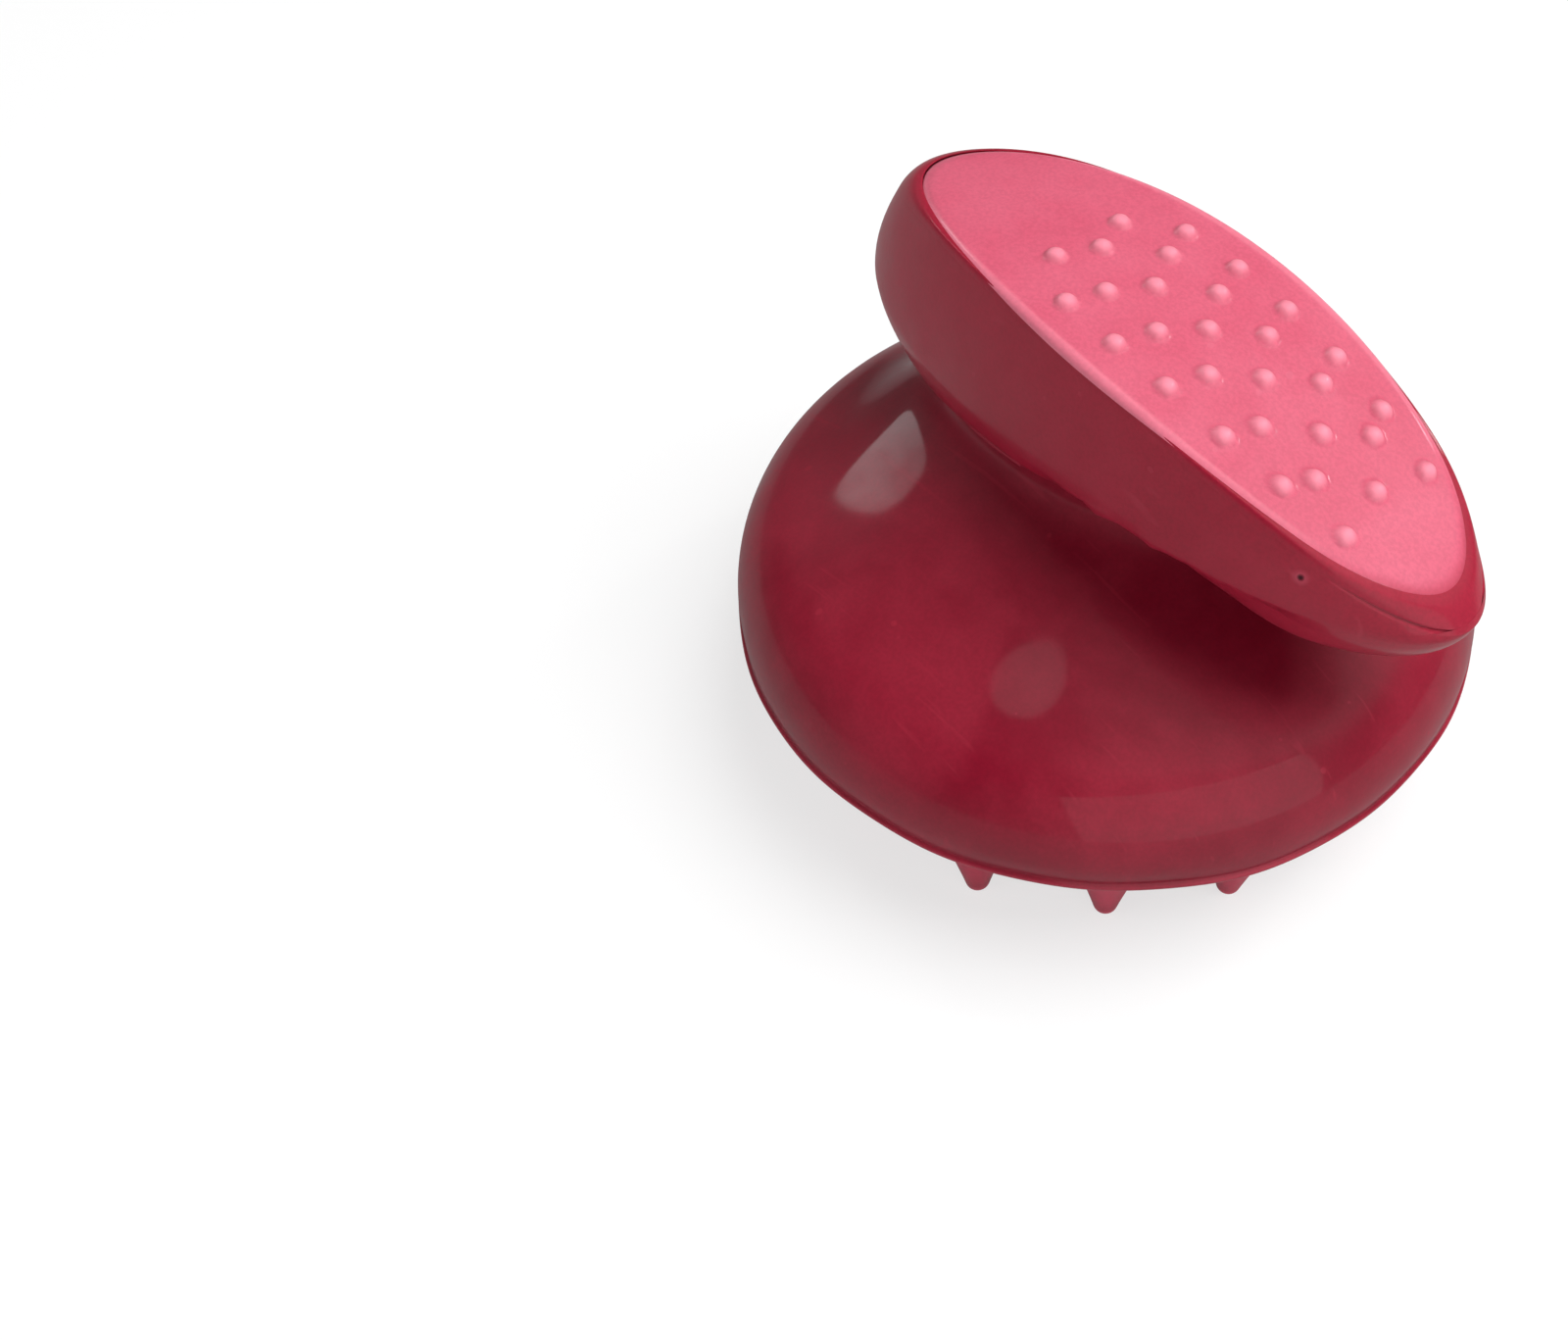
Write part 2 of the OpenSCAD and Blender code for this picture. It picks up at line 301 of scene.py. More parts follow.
def carve(piece, path, depth, width):
    """Presses a thin crease into a finished skin along a path, fading at both ends."""
    points = [Vector(p) * MM for p in path]
    reach = width * 3 * MM
    low = [min(p[i] for p in points) - reach for i in range(3)]
    high = [max(p[i] for p in points) + reach for i in range(3)]
    legs = list(zip(points, points[1:]))
    for v in piece.data.vertices:
        if any(not low[i] < v.co[i] < high[i] for i in range(3)):
            continue
        off, along = min(off_leg(v.co, a, b, k, len(legs)) for k, (a, b) in enumerate(legs))
        fade = blend01(along, 0.0, 0.15) * (1 - blend01(along, 0.8, 1.0))
        push = math.exp(-(off / (width * MM)) ** 2) * fade
        if push > 0.02:
            v.co -= v.normal * push * depth * MM


def off_leg(point, a, b, k, count):
    """Distance from a leg of a path, and how far along the whole path the nearest place is."""
    leg = b - a
    t = min(max((point - a).dot(leg) / leg.length_squared, 0), 1)
    return (point - a - leg * t).length, (k + t) / count


def ripple_rim(piece):
    """The hand-trimmed rim isn't quite a true circle: it wanders by a few tenths inwards and upwards."""
    for v in piece.data.vertices:
        x, y, z = v.co.x / MM, v.co.y / MM, v.co.z / MM
        out = math.hypot(x, y)
        near = blend01(out, head_r - 2.2, head_r - 0.5) * (1 - blend01(z, rim_z + 0.8, rim_z + 3.0))
        if near <= 0:
            continue
        a = math.atan2(y, x)
        wave = 0.5 + 0.22 * math.sin(5 * a + 0.6) + 0.16 * math.sin(9 * a + 2.1) + 0.12 * math.sin(17 * a)
        v.co.x -= 0.30 * near * wave * x / out * MM
        v.co.y -= 0.30 * near * wave * y / out * MM
        v.co.z += 0.22 * near * wave * MM


# ---------------------------------------------------------------- grip

def lip_round(x):
    """Radius that softens the grip's top edge: fuller at the high, blunt end."""
    return 0.55 + 1.7 * (1 - blend01(x, -33, -18)) + 0.25 * blend01(x, 26, 38)


def groove(x):
    """Depth of the parting groove under the lip: plain at the low end, gone at the high end."""
    return 0.32 * blend01(x, 31, 35)


def grip_profile():
    """Underside, rounded belly, leaning wall, soft lip and the pad's recess: (inset, height at x)."""
    under = [(24.0, 0.0), (16.0, 0.0), (9.0, 0.0), (6.0, 0.0), (4.0, 0.12), (2.6, 0.65), (1.4, 1.6),
             (0.62, 2.9), (0.34, 3.55), (0.24, 3.9), (0.16, 4.25), (0.04, 4.8)]
    rows = [(inset, lambda x, h=h: grip_base + h) for inset, h in under]
    rows.append((0.0, lambda x: belly_z))
    for share in (0.2, 0.4, 0.6, 0.8):
        rows.append((0.0, lambda x, s=share: belly_z + s * (arch(x) - lip_round(x) - 0.62 - belly_z)))
    rows.append((0.0, lambda x: arch(x) - lip_round(x) - 0.62))
    rows.append((0.0, lambda x: arch(x) - lip_round(x) - 0.50))
    rows.append((groove, lambda x: arch(x) - lip_round(x) - 0.40))
    rows.append((groove, lambda x: arch(x) - lip_round(x) - 0.34))
    rows.append((0.02, lambda x: arch(x) - lip_round(x) - 0.24))
    rows.append((0.0, lambda x: arch(x) - lip_round(x)))
    for turn_deg in (30, 60):
        t = math.radians(turn_deg)
        rows.append((lambda x, c=1 - math.cos(t): lip_round(x) * c * 0.6,
                     lambda x, s=1 - math.sin(t): arch(x) - lip_round(x) * s))
    rows.append((lambda x: lip_round(x) * 0.62, lambda x: arch(x)))
    rows.append((lip - 0.12, lambda x: arch(x) + 0.02))
    rows.append((lip, lambda x: arch(x) - 0.1))
    rows.append((lip + 0.03, lambda x: arch(x) - 0.5))
    rows.append((lip + 0.03, lambda x: arch(x) - 1.6))
    return rows


def make_grip():
    rows = grip_profile()
    sides = 72
    cage = [(float(k), grip_x, grip_half, grip_half * grip_ratio) for k in range(len(rows))]
    piece = loft("rubber_grip", cage, sides)
    mesh = bmesh.from_edit_mesh(piece.data)
    for v in mesh.verts:
        row = int(round(v.co.z / MM))
        inset, height = rows[row]
        turn = math.atan2(v.co.y / grip_ratio, v.co.x - grip_x * MM)
        if callable(inset):
            rough_x = grip_x + grip_half * 0.95 * math.cos(turn)
            inset = inset(rough_x)
        x, y, z = grip_point(turn, inset, height)
        if row < 13:
            keel = keel_z - math.sqrt(max(keel_r ** 2 - y ** 2, 1.0))
            z = max(z, keel)
        v.co = Vector((x, y, z)) * MM
    bmesh.update_edit_mesh(piece.data)
    select_open_edges(piece, lambda e: abs(e.verts[0].co.x - grip_x * MM) >= (grip_half - 20) * MM
                      or e.verts[0].co.z >= (grip_base + 1) * MM)
    close_end(grip_x, grip_base + 10, ((0.93, -0.2), (0.5, -1.0)))
    select_open_edges(piece)
    close_end(grip_x, grip_base, ((0.5, 0.0),))
    finish_mesh(piece, smooth_levels=2)
    undercut(piece)
    tuck_low_end(piece)
    return piece


TUCK, UNDERCUT = 1.5, 2.2       # the most that the low end and the underside are drawn in


def tuck_low_end(piece):
    """Draws the lip and the pad in at the low end, so that the wall leans out from them to the belly."""
    for v in piece.data.vertices:
        x, z = v.co.x / MM, v.co.z / MM
        share = blend01(z, belly_z - 1.0, max(arch(x) + 0.4, belly_z + 1.5))
        moved = x - TUCK * blend01(x, 28, 41) * share
        v.co.x = moved * MM
        v.co.z += (arch(moved) - arch(x)) * share * MM


def undercut(piece):
    """Draws the underside in below the parting edge, and leaves ragged flash on the edge."""
    edge_z = belly_z - 0.15
    for v in piece.data.vertices:
        x, y, z = v.co.x / MM, v.co.y / MM, v.co.z / MM
        window = blend01(x, 0, 10) * (1 - blend01(x, 14, 42))
        side = blend01(abs(y), 8, 11.5)
        if z < edge_z:
            v.co.y -= math.copysign(min(1.15 * (edge_z - z), UNDERCUT) * window * side, y) * MM
        edge = math.exp(-((z - edge_z) / 0.34) ** 2) * side * window
        if edge > 0.02:
            lane = 3.0 if y > 0 else 0.0
            ragged = max(noise_at((x * 0.33, lane, 0.0)) + 0.2, 0)
            ragged += 0.6 * max(noise_at((x * 1.1, lane + 4, 0.0)), 0)
            v.co.y += math.copysign(0.16 * edge * ragged, y) * MM
            v.co.z -= 0.75 * edge * ragged * MM


# ---------------------------------------------------------------- palm pad with its dots

def pad_half(x):
    """Half length of the oval through a point of the pad's edge at x."""
    return grip_half - lip - pad_gap - lean(arch(x) - belly_z)


def dot_places():
    """Thirty dots in five rows, staggered, the outer rows drawn in with the pad's edge."""
    middle, pitch, side_pitch, stagger = 12.7, 6.6, 6.2, 2.3
    places = []
    for i in range(DOT_ROW):
        step = i - (DOT_ROW - 1) / 2
        places.append((middle + step * pitch, 0.0))
        inner = middle - 1.2 * stagger + step * side_pitch
        outer = middle + stagger + step * side_pitch
        reach = grip_ratio * math.sqrt(pad_half(outer) ** 2 - (outer - grip_x) ** 2)
        for side in (-1, 1):
            places.append((inner, side * 4.0))
            places.append((outer, side * 0.7 * reach))
    return places


def make_pad():
    deselect_all()
    columns, lines = 250, 100
    bpy.ops.mesh.primitive_grid_add(x_subdivisions=columns, y_subdivisions=lines, size=2)
    piece = start("palm_pad_skin")
    mesh = bmesh.from_edit_mesh(piece.data)
    edge_start = 0.94
    for v in mesh.verts:
        u = v.co.x * math.sqrt(1 - v.co.y ** 2 / 2)
        w = v.co.y * math.sqrt(1 - v.co.x ** 2 / 2)
        turn, out = math.atan2(w, u), min(math.hypot(u, w), 1.0)
        x = grip_x + grip_half * math.cos(turn)
        for _ in range(6):
            a = pad_half(x)
            x = grip_x + a * math.cos(turn)
        px = grip_x + a * out * math.cos(turn)
        drop = 0.42 * max((out - edge_start) / (1 - edge_start), 0) ** 2
        lap = LAP_FAR if w > 0 else LAP_NEAR
        wide = 1 + lap * abs(math.sin(turn)) / (grip_ratio * a)
        px += LAP_LOW * out * max(math.cos(turn), 0) ** 3
        v.co = Vector((px, grip_ratio * a * out * wide * math.sin(turn), arch(px) + pad_proud - drop)) * MM
    bmesh.update_edit_mesh(piece.data)
    for x, y in dot_places():
        mesh = bmesh.from_edit_mesh(piece.data)
        centre = Vector((x, y, arch(x) + pad_proud)) * MM
        nearest = min(mesh.verts, key=lambda v: (v.co - centre).length_squared)
        bpy.ops.mesh.select_all(action="DESELECT")
        nearest.select = True
        mesh.select_flush(True)
        bmesh.update_edit_mesh(piece.data)
        tilt = math.asin((x - arch_x) / arch_r)
        bpy.ops.transform.translate(
            value=(DOT_HIGH * MM * math.sin(tilt), 0, DOT_HIGH * MM * math.cos(tilt)),
            use_proportional_edit=True, proportional_edit_falloff="SPHERE", proportional_size=DOT_REACH * MM)
    # soften the foot of each dot
    bpy.ops.mesh.select_all(action="DESELECT")
    mesh = bmesh.from_edit_mesh(piece.data)
    places = dot_places()
    for v in mesh.verts:
        v.select = any(math.hypot(v.co.x / MM - x, v.co.y / MM - y) < 1.9 for x, y in places)
    mesh.select_flush(True)
    bmesh.update_edit_mesh(piece.data)
    bpy.ops.mesh.vertices_smooth(factor=0.4, repeat=1)
    select_open_edges(piece)
    bpy.ops.mesh.extrude_edges_move(TRANSFORM_OT_translate={"value": (0, 0, -0.9 * MM)})
    close_end(grip_x, grip_base + 10, ((0.97, -0.4), (0.5, 0.0)))
    finish_mesh(piece)
    mark_dots(piece)
    tuck_low_end(piece)
    return piece


def mark_dots(piece):
    """Writes masks for the pad's finish: its dots, whose paler tops are partly a painted highlight, its paler
    long edges, partly a painted highlight, and its darker low end.
    """
    raised = piece.data.attributes.new("dot", "FLOAT", "POINT")
    paler_edge_and_highlight = piece.data.attributes.new("paler_edge_and_highlight", "FLOAT", "POINT")
    ending = piece.data.attributes.new("low_edge", "FLOAT", "POINT")
    for k, v in enumerate(piece.data.vertices):
        x, y = v.co.x / MM, v.co.y / MM
        raised.data[k].value = min(max((v.co.z / MM - arch(x) - pad_proud) / 0.7, 0), 1)
        a = pad_half(x) + LAP_LOW
        out, along = math.hypot((x - grip_x) / a, y / (grip_ratio * a)), (x - grip_x) / a
        ending.data[k].value = blend01(out, 0.955, 1.0) * blend01(along, 0.80, 0.95)
        paler_edge_and_highlight.data[k].value = blend01(out, 0.95, 0.975) * blend01(-along, -0.85, -0.65)


# ---------------------------------------------------------------- underside

BAND_WIDE = 5.4
PLATE_IN = 1.8          # between the rim and the plate's edge


def make_plate():
    """The flat underside inside the rim, left open on its hidden side in the head."""
    z, r = plate_z, head_r - PLATE_IN
    rings = [(z + 2.6, r), (z + 0.3, r), (z + 0.03, r - 0.02), (z, r - 0.14), (z, r - 1.0), (z, r - 2.6),
             (z, 30), (z, 24), (z, 16), (z, 9)]
    piece = loft("underside_plate", [(level, 0, wide, wide) for level, wide in rings], 96)
    close_end(0, z, ((0.5, 0.0),))
    return finish_mesh(piece, smooth_levels=1)


def make_band(node, name):
    """A raised ring with softened step edges, left open on its hidden side in the plate."""
    low, high = span(node)
    outer, top, face = high.x, low.z, plate_z
    inner = outer - BAND_WIDE
    rings = [(face + 0.7, outer), (face - 0.02, outer), (top + 0.16, outer - 0.03),
             (top + 0.03, outer - 0.1), (top, outer - 0.28), (top + 0.02, outer - 0.8),
             (top + 0.02, inner + 0.8), (top, inner + 0.28), (top + 0.03, inner + 0.1),
             (top + 0.16, inner + 0.03), (face - 0.02, inner), (face + 0.7, inner)]
    piece = loft(name, [(z, 0, r, r) for z, r in rings], 96)
    return finish_mesh(piece, smooth_levels=1)


def bristle_rings(height):
    """Tip dish, its thin raised edge, the long cone, the fuller foot and the fillet: (height, radius)."""
    return [(0.30, 0.45), (0.28, 0.75), (0.22, 0.93), (0.10, 1.03), (0.12, 1.16), (0.3, 1.26), (0.7, 1.34),
            (2.2, 1.66), (4.6, 2.22), (7.2, 2.82), (9.6, 3.36), (11.4, 3.78), (12.7, 4.08), (13.5, 4.25),
            (height - 0.55, 4.36), (height - 0.2, 4.42), (height - 0.02, 4.5), (height + 0.25, 4.5)]


def make_bristles():
    """One bristle modelled at the middle, then a copy with its own mesh for every place on the circles."""
    rings = [(z, 0, r, r) for z, r in bristle_rings(plate_z)]
    first = loft("bristle_centre", rings, 20)
    close_end(0, plate_z + 0.25, ((0.6, 0.0),))
    select_open_edges(first)
    close_end(0, 0.3, ())
    finish_mesh(first, smooth_levels=1)
    made = [(first, "centre_bristle")]
    for node in sorted(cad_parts):
        if not node.endswith("bristle") and "_bristle_" in node:
            low, high = span(node)
            circle, _, number = node.split("_")
            copy = bpy.data.objects.new(f"bristle_{circle}_{number}", first.data.copy())
            bpy.context.scene.collection.objects.link(copy)
            deselect_all()
            copy.select_set(True)
            bpy.context.view_layer.objects.active = copy
            bpy.ops.object.mode_set(mode="EDIT")
            bpy.ops.mesh.select_all(action="SELECT")
            x, y = (low.x + high.x) / 2, (low.y + high.y) / 2
            bpy.ops.transform.rotate(value=0.37 * int(number), orient_axis="Z", center_override=(0, 0, 0))
            bpy.ops.transform.translate(value=(x * MM, y * MM, 0))
            bpy.ops.object.mode_set(mode="OBJECT")
            bend_bristle(copy, x, y, int(number) + len(circle))
            copy.select_set(False)
            made.append((copy, node))
    return made


LEAN, SIDE_LEAN = 0.28, 1.25


def bend_bristle(piece, x, y, key):
    """Soft bristles never stand quite straight: each tip is a little off, and the nearest leans in."""
    off_x = LEAN * noise_at((key * 1.7, 0.3, 0))
    off_y = LEAN * noise_at((0.5, key * 2.3, 0))
    if abs(x) < 1 and y < -30:
        off_y += SIDE_LEAN
    for v in piece.data.vertices:
        share = max((plate_z * MM - v.co.z) / (plate_z * MM), 0) ** 1.6
        v.co.x += off_x * share * MM
        v.co.y += off_y * share * MM


# ---------------------------------------------------------------- finishes

def srgb(r, g, b):
    """A colour written 0 to 255, made linear."""
    def line(c):
        c /= 255
        return c / 12.92 if c <= 0.04045 else ((c + 0.055) / 1.055) ** 2.4
    return (line(r), line(g), line(b), 1.0)


def new_group(name, inputs, outputs):
    group = bpy.data.node_groups.new(name, "ShaderNodeTree")
    for label, kind, value in inputs:
        socket = group.interface.new_socket(label, in_out="INPUT", socket_type=kind)
        socket.default_value = value
    for label, kind in outputs:
        group.interface.new_socket(label, in_out="OUTPUT", socket_type=kind)
    return group, group.nodes.new("NodeGroupInput"), group.nodes.new("NodeGroupOutput")


def noise(group, vector, scale, detail=3.0, rough=0.55, distort=0.0):
    node = group.nodes.new("ShaderNodeTexNoise")
    node.inputs["Scale"].default_value = scale
    node.inputs["Detail"].default_value = detail
    node.inputs["Roughness"].default_value = rough
    node.inputs["Distortion"].default_value = distort
    group.links.new(vector, node.inputs["Vector"])
    return node.outputs["Fac"]


def remap(group, value, low, high, to_low=0.0, to_high=1.0):
    node = group.nodes.new("ShaderNodeMapRange")
    node.interpolation_type = "SMOOTHSTEP"
    for label, number in (("From Min", low), ("From Max", high), ("To Min", to_low), ("To Max", to_high)):
        node.inputs[label].default_value = number
    group.links.new(value, node.inputs["Value"])
    return node.outputs["Result"]


def math_node(group, kind, first, second=None, third=None):
    node = group.nodes.new("ShaderNodeMath")
    node.operation = kind
    for socket, value in zip(node.inputs, (first, second, third)):
        if value is None:
            continue
        if isinstance(value, (int, float)):
            socket.default_value = value
        else:
            group.links.new(value, socket)
    return node.outputs[0]


def mix(group, share, first, second, blend="MIX"):
    node = group.nodes.new("ShaderNodeMix")
    node.data_type = "RGBA"
    node.blend_type = blend
    for socket, value in ((node.inputs[0], share), (node.inputs[6], first), (node.inputs[7], second)):
        if isinstance(value, (int, float, tuple)):
            socket.default_value = value
        else:
            group.links.new(value, socket)
    return node.outputs[2]


def moulded_rubber_group():
    """Cloudy bloom, fine grain, pale specks and faint scuffs over moulded rubber."""
    group, into, out = new_group(
        "moulded_rubber",
        [("Colour", "NodeSocketColor", (0.3, 0.02, 0.05, 1)),
         ("Bloom colour", "NodeSocketColor", (0.5, 0.1, 0.15, 1)),
         ("Bloom", "NodeSocketFloat", 0.2), ("Specks", "NodeSocketFloat", 0.3),
         ("Scuffs", "NodeSocketFloat", 0.2),
         ("Gloss roughness", "NodeSocketFloat", 0.35)],
        [("Colour", "NodeSocketColor"), ("Roughness", "NodeSocketFloat"), ("Height", "NodeSocketFloat"),
         ("Coat", "NodeSocketFloat")])
    place = group.nodes.new("ShaderNodeTexCoord").outputs["Object"]
    cloud = remap(group, noise(group, place, 62, 4.0, 0.6, 0.4), 0.36, 0.68)
    fine_cloud = remap(group, noise(group, place, 260, 3.0, 0.6), 0.35, 0.7)
    grain = noise(group, place, 2600, 2.0, 0.6)
    skin = noise(group, place, 620, 3.0, 0.5)
    specks = group.nodes.new("ShaderNodeTexVoronoi")
    specks.inputs["Scale"].default_value = 330
    group.links.new(place, specks.inputs["Vector"])
    speck_size = remap(group, noise(group, place, 400, 1.0), 0.5, 0.75, 0.02, 0.16)
    speck = math_node(group, "LESS_THAN", specks.outputs["Distance"], speck_size)
    speck = math_node(group, "MULTIPLY", speck, into.outputs["Specks"])
    turned = group.nodes.new("ShaderNodeMapping")
    turned.inputs["Rotation"].default_value = (0.3, 0.2, 0.7)
    turned.inputs["Scale"].default_value = (1.0, 26.0, 8.0)
    group.links.new(place, turned.inputs["Vector"])
    scuff = remap(group, noise(group, turned.outputs[0], 46, 2.0, 0.5), 0.66, 0.75)
    scuff = math_node(group, "MULTIPLY", scuff, into.outputs["Scuffs"])
    clouds = math_node(group, "MULTIPLY_ADD", fine_cloud, 0.35, cloud)
    share = math_node(group, "MULTIPLY", clouds, into.outputs["Bloom"])
    colour = mix(group, share, into.outputs["Colour"], into.outputs["Bloom colour"])
    grain_tone = remap(group, grain, 0.3, 0.7, 0.93, 1.07)
    tone = group.nodes.new("ShaderNodeCombineColor")
    for label in ("Red", "Green", "Blue"):
        group.links.new(grain_tone, tone.inputs[label])
    colour = mix(group, 1.0, colour, tone.outputs[0], "MULTIPLY")
    marks = math_node(group, "ADD", speck, scuff)
    colour = mix(group, marks, colour, into.outputs["Bloom colour"])
    rough = math_node(group, "MULTIPLY_ADD", cloud, 0.09, into.outputs["Gloss roughness"])
    rough = math_node(group, "MULTIPLY_ADD", grain, 0.05, rough)
    rough = math_node(group, "MULTIPLY_ADD", marks, 0.2, rough)
    height = math_node(group, "MULTIPLY_ADD", skin, 0.6, math_node(group, "MULTIPLY", grain, 0.25))
    height = math_node(group, "MULTIPLY_ADD", scuff, -0.2, height)
    coat = math_node(group, "SUBTRACT", 0.42, math_node(group, "MULTIPLY", cloud, 0.2))
    for label, value in (("Colour", colour), ("Roughness", rough), ("Height", height), ("Coat", coat)):
        group.links.new(value, out.inputs[label])
    return group


def radius_group():
    """Distance from the head's axis and height above the floor, in millimetres."""
    group, _, out = new_group(
        "head_place", [], [("Radius", "NodeSocketFloat"), ("Height", "NodeSocketFloat")])
    place = group.nodes.new("ShaderNodeTexCoord").outputs["Object"]
    split = group.nodes.new("ShaderNodeSeparateXYZ")
    group.links.new(place, split.inputs[0])
    x = math_node(group, "MULTIPLY", split.outputs[0], 1000.0)
    y = math_node(group, "MULTIPLY", split.outputs[1], 1000.0)
    z = math_node(group, "MULTIPLY", split.outputs[2], 1000.0)
    squares = math_node(group, "ADD", math_node(group, "MULTIPLY", x, x), math_node(group, "MULTIPLY", y, y))
    for label, value in (("Radius", math_node(group, "SQRT", squares)), ("Height", z)):
        group.links.new(value, out.inputs[label])
    return group


def stroke_group():
    """Mask of a thin mark between two places in millimetres: 1 on its line, 0 past its width."""
    group, into, out = new_group(
        "thin_mark", [("Start", "NodeSocketVector", (0, 0, 0)), ("End", "NodeSocketVector", (1, 0, 0)),
                      ("Width", "NodeSocketFloat", 0.3)],
        [("Mask", "NodeSocketFloat")])

    def vector(kind, first, second, answer=0):
        node = group.nodes.new("ShaderNodeVectorMath")
        node.operation = kind
        for socket, value in zip(node.inputs, (first, second)):
            if isinstance(value, tuple):
                socket.default_value = value
            else:
                group.links.new(value, socket)
        return node.outputs[answer]

    place = vector("MULTIPLY", group.nodes.new("ShaderNodeTexCoord").outputs["Object"], (1000, 1000, 1000))
    leg = vector("SUBTRACT", into.outputs["End"], into.outputs["Start"])
    away = vector("SUBTRACT", place, into.outputs["Start"])
    length = math_node(group, "MAXIMUM", vector("DOT_PRODUCT", leg, leg, "Value"), 0.0001)
    along = math_node(group, "DIVIDE", vector("DOT_PRODUCT", away, leg, "Value"), length)
    along = math_node(group, "MINIMUM", math_node(group, "MAXIMUM", along, 0.0), 1.0)
    reach = group.nodes.new("ShaderNodeVectorMath")
    reach.operation = "SCALE"
    group.links.new(leg, reach.inputs[0])
    group.links.new(along, reach.inputs["Scale"])
    off = vector("DISTANCE", away, reach.outputs[0], "Value")
    mask = remap(group, math_node(group, "DIVIDE", off, into.outputs["Width"]), 0.25, 1.0, 1.0, 0.0)
    group.links.new(mask, out.inputs["Mask"])
    return group


RUBBER = moulded_rubber_group()
MARK = stroke_group()
PLACE = radius_group()


class Finish:
    """A material with the shared rubber group wired to its own shader."""

    def __init__(self, name, colour, bloom_colour, bloom, specks, scuffs, roughness, bump):
        self.material = bpy.data.materials.new(name)
        self.material.use_nodes = True
        self.tree = self.material.node_tree
        self.shader = self.tree.nodes["Principled BSDF"]
        self.rubber = self.tree.nodes.new("ShaderNodeGroup")
        self.rubber.node_tree = RUBBER
        for label, value in (("Colour", colour), ("Bloom colour", bloom_colour), ("Bloom", bloom),
                             ("Specks", specks), ("Scuffs", scuffs), ("Gloss roughness", roughness)):
            self.rubber.inputs[label].default_value = value
        self.colour = self.rubber.outputs["Colour"]
        self.rough = self.rubber.outputs["Roughness"]
        self.height = self.rubber.outputs["Height"]
        self.coat = self.rubber.outputs["Coat"]
        self.bump = bump
        self.shader.inputs["IOR"].default_value = 1.42
        self.shader.inputs["Specular IOR Level"].default_value = 0.26
        self.shader.inputs["Coat Roughness"].default_value = 0.07
        self.shader.inputs["Coat IOR"].default_value = 1.4

    def place(self, label):
        node = self.tree.nodes.new("ShaderNodeGroup")
        node.node_tree = PLACE
        return node.outputs[label]

    def mark(self, path, width, colour, share, rise):
        """Draws a thin mark along places in millimetres, tinted and sunk (rise below 0) or raised."""
        total = None
        for start_at, end_at in zip(path, path[1:] or path):
            node = self.tree.nodes.new("ShaderNodeGroup")
            node.node_tree = MARK
            for label, value in (("Start", start_at), ("End", end_at), ("Width", width)):
                node.inputs[label].default_value = value
            mask = node.outputs[0]
            total = mask if total is None else math_node(self.tree, "MAXIMUM", total, mask)
        self.tint(math_node(self.tree, "MULTIPLY", total, share), colour)
        self.height = math_node(self.tree, "MULTIPLY_ADD", total, rise, self.height)
        if rise < 0:
            bare = math_node(self.tree, "SUBTRACT", 1.0, total)
            self.coat = math_node(self.tree, "MULTIPLY", self.coat, bare)

    def tint(self, mask, colour):
        self.colour = mix(self.tree, mask, self.colour, colour)

    def tint_by(self, attribute, share, colour):
        """Tints where the piece's own attribute says."""
        node = self.tree.nodes.new("ShaderNodeAttribute")
        node.attribute_name = attribute
        self.tint(math_node(self.tree, "MULTIPLY", node.outputs["Fac"], share), colour)

    def done(self):
        link = self.tree.links.new
        link(self.colour, self.shader.inputs["Base Color"])
        link(self.rough, self.shader.inputs["Roughness"])
        link(self.coat, self.shader.inputs["Coat Weight"])
        bump = self.tree.nodes.new("ShaderNodeBump")
        bump.inputs["Strength"].default_value = self.bump
        bump.inputs["Distance"].default_value = 0.05 * MM
        link(self.height, bump.inputs["Height"])
        link(bump.outputs[0], self.shader.inputs["Normal"])
        return self.material


def head_finish():
    f = Finish("dome_rubber", srgb(112, 6, 30), srgb(146, 36, 54), 0.3, 0.4, 0.3, 0.42, 0.5)
    z, r = f.place("Height"), f.place("Radius")
    flash = math_node(f.tree, "MULTIPLY", remap(f.tree, r, head_r - 0.75, head_r - 0.15),
                      remap(f.tree, z, rim_z + 1.1, rim_z + 0.5))
    f.tint(math_node(f.tree, "MULTIPLY", flash, 0.3), srgb(180, 58, 78))
    # painted shade: the crevice is tinted dark to stand in for the shade in its crease, besides being sunk by
    # bump
    f.mark(neck_crevice(), 0.34, srgb(78, 6, 20), 0.7, -3.0)
    f.mark(round_neck((245, 2.0), (275, 1.5)), 0.26, srgb(170, 60, 76), 0.5, 2.0)
    return f.done()


def grip_finish():
    f = Finish("grip_rubber", srgb(134, 12, 38), srgb(158, 46, 64), 0.25, 0.4, 0.3, 0.40, 0.55)
    pinhole = grip_point(math.radians(-45), 0, lambda x: belly_z + 0.6 * (arch(x) - belly_z))
    f.mark([pinhole], 1.0, srgb(176, 70, 88), 0.4, 1.2)
    # painted shade: the pinhole's middle is tinted near black for the shade inside the hole
    f.mark([pinhole], 0.42, srgb(40, 2, 10), 0.95, -6.0)
    return f.done()


def pad_finish():
    f = Finish("pad_rubber", srgb(184, 76, 98), srgb(196, 100, 120), 0.3, 0.3, 0.12, 0.34, 0.25)
    # paler dot tops: partly rubbed wear, partly a painted highlight standing in for glints on the dots
    f.tint_by("dot", 0.42, srgb(246, 160, 176))
    # paler long edges: partly a paler moulded edge, partly a painted highlight along the rounded edge
    f.tint_by("paler_edge_and_highlight", 0.2, srgb(244, 160, 176))
    f.tint_by("low_edge", 0.8, srgb(140, 24, 44))
    return f.done()


